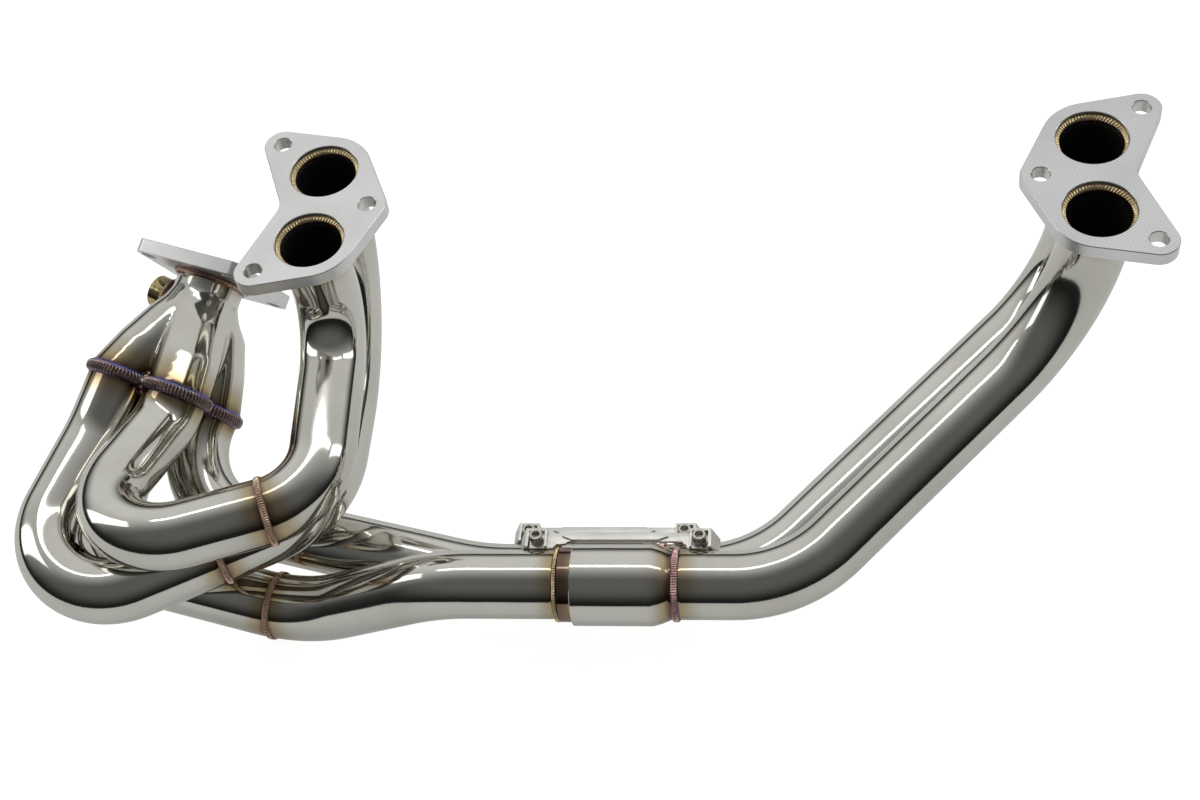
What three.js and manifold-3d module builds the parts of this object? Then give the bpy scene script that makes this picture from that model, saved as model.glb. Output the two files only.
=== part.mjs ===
// Exhaust manifold for a flat four engine, in polished stainless tube.
// Two head flanges stand side by side, and the two tubes of the right one cross over to the left
// through slip joints. All four tubes meet in a merge collector behind a square outlet flange.
//
// Millimetres. +Z is the outward normal of both head faces, +X runs from the left bank to the right,
// and the origin is on the left head face, midway between its two ports.
import * as THREE from "three";
import { mergeVertices } from "three/addons/utils/BufferGeometryUtils.js";
import Module from "manifold-3d";

const wasm = await Module();
wasm.setup();

// Tube stock, and the clearance that is kept wherever two pieces meet.
const TUBE_OD = 44.45;
const TUBE_WALL = 1.5;
const TUBE_SIDES = 12;
const TUBE_RADIUS = TUBE_OD / 2;
const BEND_STEP = THREE.MathUtils.degToRad(16);
const GAP = 0.3;

// Head flanges: two ports, one stud hole inboard and two outboard.
const FLANGE_THICKNESS = 10;
const RIGHT_FLANGE = new THREE.Vector3(500.7, 11.2, 0);
const PORT_PITCH = 61.1;
const PORT_BORE = 46;
const STUD_HOLE = 12;
const INBOARD_STUD = 33.9;
const OUTBOARD_STUD = { out: 32.9, along: 56.2 };
const TUBE_INSET = 6;

// Merge collector: where the four tubes end, which way the gas leaves, and how the lobes close in.
const COLLECTOR_CENTRE = new THREE.Vector3(-136, -48.8, -140);
const COLLECTOR_AXIS = new THREE.Vector3(0.326, 0.865, 0.382).normalize();
const INLET_OFFSET = 33.5;
const SHOULDER = { height: 55, radius: 22.5 };
const NECK = { height: 72, radius: 24 };
const OUTLET_FACE_HEIGHT = 98;

// Outlet flange: a square plate with four holes, turned about the collector's axis, and leaning a
// little from it.
const OUTLET_SIDE = 84.5;
const OUTLET_THICKNESS = 10;
const OUTLET_CORNER = 6;
const OUTLET_HOLE = 11;
const OUTLET_HOLE_OFFSET = 33.8;
const OUTLET_TURN = THREE.MathUtils.degToRad(46);
const OUTLET_LEAN = THREE.MathUtils.degToRad(2.3);

// Sensor bung, on the collector's shoulder.
const BUNG = { height: 69.5, reach: 39, radius: 12, bore: 7.2, lean: THREE.MathUtils.degToRad(7) };

// Crossovers: the axes of the two straight runs, and the middle of the slip joint in each.
const FRONT_CROSSOVER = new THREE.Vector3(197.6, -201.6, -146.1);
const REAR_CROSSOVER = new THREE.Vector3(183, -168.2, -191.2);

// Slip joint, along X from its middle.
const SLIP = {
  leftTubeEnd: -37.2,
  rightTubeEnd: 37.3,
  spigotStart: -36.5,
  spigotEnd: 17.4,
  spigotRadius: 24,
  sleeveStart: -28.1,
  taperStart: 24.1,
  taperEnd: 34.9,
  sleeveEnd: 36.8,
  sleeveRadius: 26.4,
};

// Tie bracket over each slip joint, from the crossover's axis. The straps lie behind the tube.
const SCREW_REACH = 52.8;
const SCREW_BACK = 25.4;
const SCREW = { headRadius: 4.3, headTop: 20.5, shankRadius: 2.4, shankEnd: 4.6, socket: 3.5 };
const LUG = { front: 19.4, back: 33.2, bottom: 2.5, top: 15.5, floor: 10.7, backWall: 1.7 };
const STRAP = { bottom: 11, top: 13, front: 19.4, back: 31.2, ribTop: 14.5 };

const Y_AXIS = new THREE.Vector3(0, 1, 0);

const polished = new THREE.MeshStandardMaterial({ color: 0xcfcfca, roughness: 0.12, metalness: 1 });
const machined = new THREE.MeshStandardMaterial({ color: 0xb4b6b7, roughness: 0.42, metalness: 1 });
const satin = new THREE.MeshStandardMaterial({ color: 0xb9b7ae, roughness: 0.35, metalness: 1 });
const weldBead = new THREE.MeshStandardMaterial({ color: 0xa3864e, roughness: 0.3, metalness: 1 });
const bungSteel = new THREE.MeshStandardMaterial({ color: 0x8c7f4a, roughness: 0.25, metalness: 1 });
const screwSteel = new THREE.MeshStandardMaterial({ color: 0x77766f, roughness: 0.28, metalness: 1 });

function mesh(name, geometry, material) {
  const piece = new THREE.Mesh(geometry, material);
  piece.name = name;
  return piece;
}

// ---- solids ----

function toSolid(geometry) {
  const loose = geometry.index ? geometry.toNonIndexed() : geometry;
  const positions = new THREE.BufferGeometry();
  positions.setAttribute("position", loose.getAttribute("position"));
  const merged = mergeVertices(positions, 1e-3);
  const vertProperties = merged.attributes.position.array;
  const triVerts = new Uint32Array(merged.index.array);
  return new wasm.Manifold(new wasm.Mesh({ numProp: 3, vertProperties, triVerts }));
}

function toGeometry(solid) {
  const { vertProperties, triVerts } = solid.getMesh();
  const geometry = new THREE.BufferGeometry();
  geometry.setAttribute("position", new THREE.BufferAttribute(vertProperties, 3));
  geometry.setIndex(new THREE.BufferAttribute(triVerts, 1));
  return geometry;
}

function union(solids) {
  return solids.reduce((joined, solid) => joined.add(solid));
}

// A corner radius that keeps a polygon's flats at least `radius` from its centre.
function outside(radius, sides) {
  return radius / Math.cos(Math.PI / sides);
}

// A ring, or any turned piece, about Y. The profile lists [radius, height] anticlockwise.
function turned(profile, sides = 16) {
  const points = profile.map(([radius, height]) => new THREE.Vector2(radius, height));
  if (profile[0][0] > 0) points.push(points[0].clone());
  return new THREE.LatheGeometry(points, sides);
}

// A turned piece moved so that its axis starts at `place` and runs along `direction`.
function aligned(geometry, place, direction) {
  const turn = new THREE.Quaternion().setFromUnitVectors(Y_AXIS, direction);
  return geometry.applyQuaternion(turn).translate(place.x, place.y, place.z);
}

function circle(x, y, radius, sides) {
  return Array.from({ length: sides }, (_, i) => {
    const angle = (2 * Math.PI * (i + 0.5)) / sides;
    return new THREE.Vector2(x + radius * Math.cos(angle), y + radius * Math.sin(angle));
  });
}

// A plate from z = 0 up to `thickness`, with its outline and its holes as lists of points.
function plate(outline, holes, thickness) {
  const shape = new THREE.Shape(outline);
  shape.holes = holes.map((points) => new THREE.Path(points));
  return new THREE.ExtrudeGeometry(shape, { depth: thickness, bevelEnabled: false, curveSegments: 1 });
}

function box(low, high) {
  const size = high.clone().sub(low);
  const middle = low.clone().add(high).multiplyScalar(0.5);
  return new THREE.BoxGeometry(size.x, size.y, size.z).translate(middle.x, middle.y, middle.z);
}

// The outline of a belt run round discs in turn, anticlockwise. A disc with a negative radius
// stands outside the belt and presses a hollow into it.
function belt(discs, step = THREE.MathUtils.degToRad(18)) {
  const normals = discs.map((disc, i) => {
    const next = discs[(i + 1) % discs.length];
    const span = new THREE.Vector2(next.x - disc.x, next.y - disc.y);
    return span.angle() - Math.acos((disc.r - next.r) / span.length());
  });
  return discs.flatMap((disc, i) => {
    const start = normals[(i + discs.length - 1) % discs.length];
    let sweep = (normals[i] - start) % (2 * Math.PI);
    if (disc.r > 0 && sweep < 0) sweep += 2 * Math.PI;
    if (disc.r < 0 && sweep > 0) sweep -= 2 * Math.PI;
    const steps = Math.max(1, Math.round(Math.abs(sweep) / step));
    return Array.from({ length: steps + 1 }, (_, k) => {
      const angle = start + (sweep * k) / steps;
      return new THREE.Vector2(disc.x + disc.r * Math.cos(angle), disc.y + disc.r * Math.sin(angle));
    });
  });
}

// ---- bent tubes ----

function straight(start, end) {
  const direction = end.clone().sub(start).normalize();
  return {
    length: start.distanceTo(end),
    stepLength: Infinity,
    point: (s) => start.clone().addScaledVector(direction, s),
    tangent: () => direction.clone(),
  };
}

function bend(start, incoming, outgoing, radius) {
  const turn = incoming.angleTo(outgoing);
  const inward = outgoing.clone().addScaledVector(incoming, -Math.cos(turn)).normalize();
  const centre = start.clone().addScaledVector(inward, radius);
  return {
    length: radius * turn,
    stepLength: radius * BEND_STEP,
    point: (s) =>
      centre
        .clone()
        .addScaledVector(inward, -radius * Math.cos(s / radius))
        .addScaledVector(incoming, radius * Math.sin(s / radius)),
    tangent: (s) =>
      incoming
        .clone()
        .multiplyScalar(Math.cos(s / radius))
        .addScaledVector(inward, Math.sin(s / radius)),
  };
}

// A tube's centre line: straights and bends, each cut into a whole number of equal steps, so that
// one step of an extrusion never crosses the end of a bend.
class TubeRun extends THREE.Curve {
  constructor(spans) {
    super();
    this.spans = spans;
    this.steps = spans.reduce((sum, span) => sum + span.steps, 0);
    this.runLength = spans.reduce((sum, span) => sum + span.to - span.from, 0);
  }

  static throughCorners(corners, radii) {
    const directions = corners.slice(1).map((corner, i) => corner.clone().sub(corners[i]).normalize());
    const pieces = [];
    let start = corners[0];
    radii.forEach((radius, i) => {
      const [incoming, outgoing] = [directions[i], directions[i + 1]];
      const setback = radius * Math.tan(incoming.angleTo(outgoing) / 2);
      const bendStart = corners[i + 1].clone().addScaledVector(incoming, -setback);
      pieces.push(straight(start, bendStart), bend(bendStart, incoming, outgoing, radius));
      start = corners[i + 1].clone().addScaledVector(outgoing, setback);
    });
    pieces.push(straight(start, corners.at(-1)));
    return new TubeRun(pieces.map((piece) => TubeRun.span(piece, 0, piece.length)));
  }

  static span(piece, from, to) {
    return { piece, from, to, steps: Math.max(1, Math.ceil((to - from) / piece.stepLength - 1e-6)) };
  }

  // The stretch between two distances along the run.
  part(from, to) {
    const kept = [];
    let passed = 0;
    for (const span of this.spans) {
      const low = Math.max(from - passed, 0) + span.from;
      const high = Math.min(to - passed, span.to - span.from) + span.from;
      if (high - low > 1e-6) kept.push(TubeRun.span(span.piece, low, high));
      passed += span.to - span.from;
    }
    return new TubeRun(kept);
  }

  locate(t) {
    let step = t * this.steps;
    for (const span of this.spans) {
      if (step <= span.steps + 1e-9) {
        return { piece: span.piece, s: span.from + ((span.to - span.from) * step) / span.steps };
      }
      step -= span.steps;
    }
    const last = this.spans.at(-1);
    return { piece: last.piece, s: last.to };
  }

  getPoint(t, target = new THREE.Vector3()) {
    const { piece, s } = this.locate(t);
    return target.copy(piece.point(s));
  }

  getTangent(t, target = new THREE.Vector3()) {
    const { piece, s } = this.locate(t);
    return target.copy(piece.tangent(s));
  }

  getPointAt(t, target) {
    return this.getPoint(t, target);
  }

  getTangentAt(t, target) {
    return this.getTangent(t, target);
  }
}

function tube(run, radius = TUBE_RADIUS) {
  const shape = new THREE.Shape(circle(0, 0, radius, TUBE_SIDES));
  shape.holes = [new THREE.Path(circle(0, 0, radius - TUBE_WALL, TUBE_SIDES))];
  return new THREE.ExtrudeGeometry(shape, { steps: run.steps, extrudePath: run, curveSegments: 1 });
}

// A butt weld: the bead round a tube at a distance along its run.
function buttWeld(run, distance) {
  const inner = outside(TUBE_RADIUS + 1.6 * GAP, 16);
  const ring = turned([
    [inner, -3],
    [inner + 0.9, -3],
    [inner + 1.9, 0],
    [inner + 0.9, 3],
    [inner, 3],
  ]);
  const here = run.part(0, distance);
  return aligned(ring, here.getPoint(1), here.getTangent(1));
}

// ---- collector frame ----

const FLOW = COLLECTOR_AXIS;
const INLET_X = new THREE.Vector3(0.759, 0, -0.651);
INLET_X.addScaledVector(FLOW, -INLET_X.dot(FLOW)).normalize();
const INLET_Z = INLET_X.clone().cross(FLOW);

// A point `height` along the gas flow from the tube ends, and off the axis by x and z.
function onCollector(height, x = 0, z = 0) {
  return COLLECTOR_CENTRE.clone()
    .addScaledVector(FLOW, height)
    .addScaledVector(INLET_X, x)
    .addScaledVector(INLET_Z, z);
}

// Where each tube enters, and how far out its lobe still stands at the shoulder.
const INLETS = {
  leftFront: { x: 0, z: 1, shoulder: 12 },
  leftRear: { x: -1, z: 0, shoulder: 12 },
  front: { x: 0, z: -1, shoulder: 13 },
  rear: { x: 1, z: 0, shoulder: 17 },
};

function inletCentre(inlet, height = 0, offset = INLET_OFFSET) {
  return onCollector(height, inlet.x * offset, inlet.z * offset);
}

// ---- head flanges and the tubes between them and the collector ----

// Plan of a head flange, with x outboard and y along the head.
const FLANGE_DISCS = [
  { x: OUTBOARD_STUD.out, y: OUTBOARD_STUD.along, r: 12.8 },
  { x: 0, y: PORT_PITCH / 2, r: 31.8 },
  { x: -INBOARD_STUD, y: 0, r: 13 },
  { x: 0, y: -PORT_PITCH / 2, r: 31.8 },
  { x: OUTBOARD_STUD.out, y: -OUTBOARD_STUD.along, r: 12.8 },
  { x: 39.6, y: 0, r: -14 },
];

function headFlange(side) {
  const place = ([x, y], radius, sides) => circle(side * x, y, outside(radius, sides), sides);
  const studs = [
    [-INBOARD_STUD, 0],
    [OUTBOARD_STUD.out, OUTBOARD_STUD.along],
    [OUTBOARD_STUD.out, -OUTBOARD_STUD.along],
  ];
  const ports = [
    [0, PORT_PITCH / 2],
    [0, -PORT_PITCH / 2],
  ];
  const outline = belt(FLANGE_DISCS).map(({ x, y }) => new THREE.Vector2(side * x, y));
  const holes = [
    ...studs.map((stud) => place(stud, STUD_HOLE / 2, 8)),
    ...ports.map((port) => place(port, PORT_BORE / 2, 20)),
  ];
  return plate(outline, holes, FLANGE_THICKNESS).translate(0, 0, -FLANGE_THICKNESS);
}

// The bead that closes the step between a tube's end and the port above it.
function portWeld() {
  const outer = (PORT_BORE / 2 - GAP) * Math.cos(Math.PI / 16);
  const inner = outside(TUBE_RADIUS - TUBE_WALL - 0.6, 16);
  return turned([
    [inner, -TUBE_INSET + GAP],
    [outer, -TUBE_INSET + GAP],
    [outer, -2.4],
    [inner, -4.6],
  ]).rotateX(Math.PI / 2);
}

const vector = (x, y, z) => new THREE.Vector3(x, y, z);

// A tube that ends in the collector: its last straight lies along the gas flow.
function toCollector(corners, radii, inlet, lead) {
  const ends = [inletCentre(inlet, -lead), inletCentre(inlet)];
  return TubeRun.throughCorners([...corners, ...ends], radii);
}

const LEFT_PORT = PORT_PITCH / 2;

const leftFrontRun = toCollector(
  [
    vector(0, -LEFT_PORT, -TUBE_INSET),
    vector(0, -LEFT_PORT, -85.4),
    vector(3.5, -163.7, -101.4),
    vector(-168.5, -223, -97.4),
  ],
  [49, 48, 48, 40],
  INLETS.leftFront,
  20.1,
);

const leftRearRun = toCollector(
  [
    vector(0, LEFT_PORT, -TUBE_INSET),
    vector(0, LEFT_PORT, -128.5),
    vector(-4, -143.1, -143.8),
    vector(-224.3, -250.6, -150.8),
  ],
  [113.5, 66.7, 49, 66],
  INLETS.leftRear,
  42.9,
);

const frontCrossoverRun = toCollector(
  [
    FRONT_CROSSOVER.clone().setX(FRONT_CROSSOVER.x + SLIP.leftTubeEnd),
    FRONT_CROSSOVER.clone().setX(79.3),
    vector(-24, -191.7, -201.1),
    vector(-174.4, -161, -181),
  ],
  [89, 102, 60, 60],
  INLETS.front,
  61.1,
);

const rearCrossoverRun = toCollector(
  [REAR_CROSSOVER.clone().setX(REAR_CROSSOVER.x + SLIP.leftTubeEnd), REAR_CROSSOVER.clone().setX(98)],
  [168, 56.5],
  INLETS.rear,
  72.2,
);

const rightFrontRun = TubeRun.throughCorners(
  [
    RIGHT_FLANGE.clone().add(vector(0, -PORT_PITCH / 2, -TUBE_INSET)),
    RIGHT_FLANGE.clone().add(vector(0, -PORT_PITCH / 2, -86.7)),
    FRONT_CROSSOVER.clone().setX(310),
    FRONT_CROSSOVER.clone().setX(FRONT_CROSSOVER.x + SLIP.rightTubeEnd),
  ],
  [99, 90],
);

const rightRearRun = TubeRun.throughCorners(
  [
    RIGHT_FLANGE.clone().add(vector(0, PORT_PITCH / 2, -TUBE_INSET)),
    RIGHT_FLANGE.clone().add(vector(0, PORT_PITCH / 2, -134.4)),
    REAR_CROSSOVER.clone().setX(285.5),
    REAR_CROSSOVER.clone().setX(REAR_CROSSOVER.x + SLIP.rightTubeEnd),
  ],
  [79, 97],
);

// A run made of two tubes with a butt weld between them.
function weldedPair(run, distance, firstName, secondName, weldName) {
  return [
    mesh(firstName, tube(run.part(0, distance - GAP / 2)), polished),
    mesh(secondName, tube(run.part(distance + GAP / 2, run.runLength)), polished),
    mesh(weldName, buttWeld(run, distance), weldBead),
  ];
}

// ---- merge collector, outlet and bung ----

// A slanted cone frustum between two discs that both face along the flow.
function lobe(inlet, low, high) {
  const base = inletCentre(inlet, low.height, low.offset);
  const rise = inletCentre(inlet, high.height, high.offset).sub(base);
  const height = high.height - low.height;
  const frame = new THREE.Matrix4().makeBasis(INLET_X, rise.divideScalar(height), INLET_Z);
  frame.setPosition(base);
  const cone = new THREE.CylinderGeometry(high.radius, low.radius, height, TUBE_SIDES);
  return toSolid(cone.translate(0, height / 2, 0).applyMatrix4(frame));
}

// The collector filled solid, with every radius larger by `grow` and each end longer by `extra`.
function collectorBody(grow, extra) {
  const mouth = { height: GAP, offset: INLET_OFFSET, radius: TUBE_RADIUS + grow };
  const neck = { height: NECK.height, offset: 0, radius: NECK.radius + grow };
  const outletEnd = OUTLET_FACE_HEIGHT - OUTLET_THICKNESS + TUBE_INSET;
  const lobes = Object.values(INLETS).flatMap((inlet) => {
    const shoulder = { ...SHOULDER, offset: inlet.shoulder, radius: SHOULDER.radius + grow };
    const pieces = [lobe(inlet, mouth, shoulder), lobe(inlet, shoulder, neck)];
    if (extra > 0) pieces.push(lobe(inlet, { ...mouth, height: GAP - extra }, mouth));
    return pieces;
  });
  const pipe = lobe(INLETS.rear, neck, { ...neck, height: outletEnd + extra });
  return union([...lobes, pipe]);
}

const BUNG_RADIAL = INLET_X.clone().add(INLET_Z).multiplyScalar(-Math.SQRT1_2);
const BUNG_AXIS = BUNG_RADIAL.clone()
  .multiplyScalar(Math.cos(BUNG.lean))
  .addScaledVector(FLOW, Math.sin(BUNG.lean));
const BUNG_FACE = onCollector(BUNG.height).addScaledVector(BUNG_RADIAL, BUNG.reach);

// A cylinder that ends `short` of the bung's outer face and reaches `depth` further in.
function bungCylinder(radius, short, depth) {
  const cylinder = new THREE.CylinderGeometry(radius, radius, depth, 16).translate(0, -depth / 2, 0);
  return toSolid(aligned(cylinder, BUNG_FACE.clone().addScaledVector(BUNG_AXIS, -short), BUNG_AXIS));
}

function bungPieces() {
  const shell = collectorBody(0, 0).subtract(collectorBody(-TUBE_WALL, 2));
  const drilled = shell.subtract(bungCylinder(BUNG.bore, 5, 22));
  const clearOfShell = collectorBody(GAP, 0);
  const bung = bungCylinder(BUNG.radius, 0, 20).subtract(clearOfShell).subtract(bungCylinder(BUNG.bore, -1, 30));
  const collar = bungCylinder(BUNG.radius + 2, 0, 20).subtract(bungCylinder(BUNG.radius + GAP, -1, 30));
  const weld = collar.intersect(collectorBody(2.6, 0)).subtract(clearOfShell);
  return [
    mesh("merge_collector", toGeometry(drilled), polished),
    mesh("sensor_bung", toGeometry(bung), bungSteel),
    mesh("sensor_bung_weld", toGeometry(weld), weldBead),
  ];
}

// The band that joins the four tube ends to the collector and to each other.
function collectorBand() {
  const disc = (inlet, radius, low, high) =>
    lobe(inlet, { height: low, offset: INLET_OFFSET, radius }, { height: high, offset: INLET_OFFSET, radius });
  const bore = outside(TUBE_RADIUS + GAP, TUBE_SIDES);
  const inlets = Object.values(INLETS);
  const core = new THREE.CylinderGeometry(12, 12, 10, TUBE_SIDES);
  const filled = union([
    ...inlets.map((inlet) => disc(inlet, 26.2, -5, 5)),
    toSolid(aligned(core, COLLECTOR_CENTRE, FLOW)),
  ]);
  const clearOfShell = collectorBody(GAP, 0);
  return inlets.reduce((left, inlet) => left.subtract(disc(inlet, bore, -6, 6)), filled).subtract(clearOfShell);
}

function outletPieces() {
  const across = OUTLET_SIDE / 2 - OUTLET_CORNER;
  const corners = [
    [1, 1],
    [-1, 1],
    [-1, -1],
    [1, -1],
  ];
  const discs = corners.map(([x, y]) => ({ x: x * across, y: y * across, r: OUTLET_CORNER }));
  const holes = corners.map(([x, y]) =>
    circle(x * OUTLET_HOLE_OFFSET, y * OUTLET_HOLE_OFFSET, OUTLET_HOLE / 2, 8),
  );
  const clearance = NECK.radius + 2 * GAP;
  const bore = circle(0, 0, outside(clearance, 24), 24);
  const normal = FLOW.clone().addScaledVector(INLET_X, -Math.tan(OUTLET_LEAN)).normalize();
  const across1 = INLET_X.clone().applyAxisAngle(FLOW, -OUTLET_TURN).projectOnPlane(normal).normalize();
  const across2 = normal.clone().cross(across1);
  const underside = onCollector(OUTLET_FACE_HEIGHT - OUTLET_THICKNESS);
  const frame = new THREE.Matrix4().makeBasis(across1, across2, normal);
  frame.setPosition(underside);
  const square = plate(belt(discs, Math.PI / 6), [...holes, bore], OUTLET_THICKNESS).applyMatrix4(frame);
  const inner = outside(clearance, 16);
  const weld = turned([
    [inner, -3.2],
    [inner + 0.8, -3.2],
    [inner + 3.6, -GAP],
    [inner, -GAP],
  ]);
  return [
    mesh("outlet_flange", square, machined),
    mesh("outlet_weld", aligned(weld, underside, normal), weldBead),
  ];
}

// ---- slip joints and their tie brackets ----

// Rings about X, from the joint's middle.
function alongX(profile, sides = TUBE_SIDES) {
  return turned(profile, sides).rotateZ(-Math.PI / 2);
}

function slipSpigot() {
  const { spigotStart, spigotEnd, spigotRadius } = SLIP;
  return alongX([
    [spigotRadius - TUBE_WALL, spigotStart],
    [spigotRadius, spigotStart],
    [spigotRadius, spigotEnd],
    [spigotRadius - TUBE_WALL, spigotEnd],
  ]);
}

function slipSleeve() {
  const bore = outside(SLIP.spigotRadius + GAP, TUBE_SIDES);
  const narrowBore = TUBE_RADIUS - TUBE_WALL;
  return alongX([
    [bore, SLIP.sleeveStart],
    [SLIP.sleeveRadius, SLIP.sleeveStart],
    [SLIP.sleeveRadius, SLIP.taperStart],
    [TUBE_RADIUS, SLIP.taperEnd],
    [TUBE_RADIUS, SLIP.sleeveEnd],
    [narrowBore, SLIP.sleeveEnd],
    [narrowBore, SLIP.taperEnd],
    [bore, SLIP.taperStart],
  ]);
}

function slipBead(low, high) {
  const inner = outside(TUBE_RADIUS + GAP, 16);
  const middle = (low + high) / 2;
  const profile = [
    [inner, low],
    [inner + 0.8, low],
    [inner + 2, middle],
    [inner + 0.8, high],
    [inner, high],
  ];
  return alongX(profile, 16);
}

// A lug is a tapered block with an open pocket for the screw and a slot for the strap, made here for
// the left of the joint.
function tieLug() {
  const block = new THREE.Shape([
    new THREE.Vector2(-12.4, LUG.bottom),
    new THREE.Vector2(6.6, LUG.bottom),
    new THREE.Vector2(6.6, LUG.top),
    new THREE.Vector2(-7.4, LUG.top),
  ]);
  const depth = LUG.back - LUG.front;
  const body = new THREE.ExtrudeGeometry(block, { depth, bevelEnabled: false });
  body.rotateX(Math.PI / 2).translate(0, LUG.back, 0);
  const pocketBack = LUG.back - LUG.backWall;
  const pocket = box(vector(-5.4, LUG.front - 1, LUG.floor), vector(5, pocketBack, LUG.top + 1));
  const slot = box(vector(4, LUG.front - 1, LUG.floor), vector(8, pocketBack, STRAP.top + GAP));
  const shank = new THREE.CylinderGeometry(3, 3, 12, 8).rotateX(Math.PI / 2).translate(0, SCREW_BACK, 10);
  const crossover = new THREE.CylinderGeometry(1, 1, 60, 16).rotateZ(Math.PI / 2);
  const clearance = outside(TUBE_RADIUS + GAP, 16);
  crossover.scale(1, clearance, clearance);
  const cut = [pocket, slot, shank, crossover].reduce(
    (left, geometry) => left.subtract(toSolid(geometry)),
    toSolid(body),
  );
  return toGeometry(cut);
}

// A strap is a plate that is narrow over the sleeve, with a pressed rib along it. Its left end has a
// hole, and its right end is a fork that slides under the screw.
function tieStrap() {
  const { front, back } = STRAP;
  const holeHalf = 3;
  const forkRoot = SCREW_REACH - 6.4;
  const tip = SCREW_REACH + 1.5;
  const outline = [
    [-SCREW_REACH - 4.9, front],
    [-42, front],
    [-40, 22.6],
    [-34.5, 22.6],
    [-32.5, 24.6],
    [41.5, 24.6],
    [42.5, 22.6],
    [44, 22.6],
    [45, front],
    [tip, front],
    [tip, SCREW_BACK - holeHalf],
    [forkRoot, SCREW_BACK - holeHalf],
    [forkRoot, SCREW_BACK + holeHalf],
    [tip, SCREW_BACK + holeHalf],
    [tip, back],
    [-SCREW_REACH - 4.9, back],
  ].map(([x, y]) => new THREE.Vector2(x, y));
  const hole = circle(-SCREW_REACH, SCREW_BACK, holeHalf, 8);
  const blank = plate(outline, [hole], STRAP.top - STRAP.bottom).translate(0, 0, STRAP.bottom);
  const rib = [
    [-36.5, 27.9],
    [-30, 25],
    [26, 25],
    [32.5, 27.9],
    [26, 30.8],
    [-30, 30.8],
  ].map(([x, y]) => new THREE.Vector2(x, y));
  const ribHeight = STRAP.ribTop - STRAP.top + 0.5;
  const raised = plate(rib, [], ribHeight).translate(0, 0, STRAP.top - 0.5);
  return toGeometry(toSolid(blank).add(toSolid(raised)));
}

// A socket head screw with a tall head, standing on the strap.
function tieScrew() {
  const headBottom = STRAP.top + GAP;
  return turned(
    [
      [0, SCREW.shankEnd],
      [SCREW.shankRadius, SCREW.shankEnd],
      [SCREW.shankRadius, headBottom],
      [SCREW.headRadius, headBottom],
      [SCREW.headRadius, SCREW.headTop],
      [2.5, SCREW.headTop],
      [2.5, SCREW.headTop - SCREW.socket],
      [0, SCREW.headTop - SCREW.socket],
    ],
    TUBE_SIDES,
  ).rotateX(Math.PI / 2);
}

function placed(piece, x, y, z) {
  piece.position.set(x, y, z);
  return piece;
}

function mirrored(piece) {
  piece.scale.x = -1;
  return piece;
}

function slipJoint(name, middle) {
  const joint = new THREE.Group();
  joint.position.copy(middle);
  joint.add(
    mesh(`${name}_slip_spigot`, slipSpigot(), polished),
    mesh(`${name}_slip_sleeve`, slipSleeve(), polished),
    mesh(`${name}_spigot_weld`, slipBead(-39.8, -36.8), weldBead),
    mesh(`${name}_sleeve_weld`, slipBead(35.4, 41), weldBead),
    mesh(`${name}_tie_strap`, tieStrap(), satin),
    placed(mesh(`${name}_left_lug`, tieLug(), satin), -SCREW_REACH, 0, 0),
    placed(mirrored(mesh(`${name}_right_lug`, tieLug(), satin)), SCREW_REACH, 0, 0),
    placed(mesh(`${name}_left_screw`, tieScrew(), screwSteel), -SCREW_REACH, SCREW_BACK, 0),
    placed(mesh(`${name}_right_screw`, tieScrew(), screwSteel), SCREW_REACH, SCREW_BACK, 0),
  );
  return joint;
}

// ---- assembly ----

function head(side, name, place) {
  const group = new THREE.Group();
  group.position.copy(place);
  group.add(
    mesh(`${name}_head_flange`, headFlange(side), machined),
    placed(mesh(`${name}_front_port_weld`, portWeld(), weldBead), 0, -PORT_PITCH / 2, 0),
    placed(mesh(`${name}_rear_port_weld`, portWeld(), weldBead), 0, PORT_PITCH / 2, 0),
  );
  return group;
}

const manifold = new THREE.Group();
manifold.add(
  head(-1, "left", vector(0, 0, 0)),
  head(1, "right", RIGHT_FLANGE),
  ...weldedPair(leftFrontRun, 221.8, "left_front_upper_tube", "left_front_loop_tube", "left_front_butt_weld"),
  ...weldedPair(leftRearRun, 325.3, "left_rear_upper_tube", "left_rear_loop_tube", "left_rear_butt_weld"),
  ...weldedPair(
    frontCrossoverRun,
    215,
    "front_crossover_tube",
    "front_crossover_return_tube",
    "front_crossover_butt_weld",
  ),
  mesh("rear_crossover_tube", tube(rearCrossoverRun), polished),
  mesh("right_front_tube", tube(rightFrontRun), polished),
  mesh("right_rear_tube", tube(rightRearRun), polished),
  slipJoint("front", FRONT_CROSSOVER),
  slipJoint("rear", REAR_CROSSOVER),
  ...bungPieces(),
  mesh("collector_weld_band", toGeometry(collectorBand()), weldBead),
  ...outletPieces(),
);

export default manifold;
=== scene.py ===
"""The looks of the tubular exhaust manifold: polished tubes, weld beads, flanges and tie brackets."""

import math

import bmesh
import bpy
from mathutils import Matrix, Vector


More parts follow.
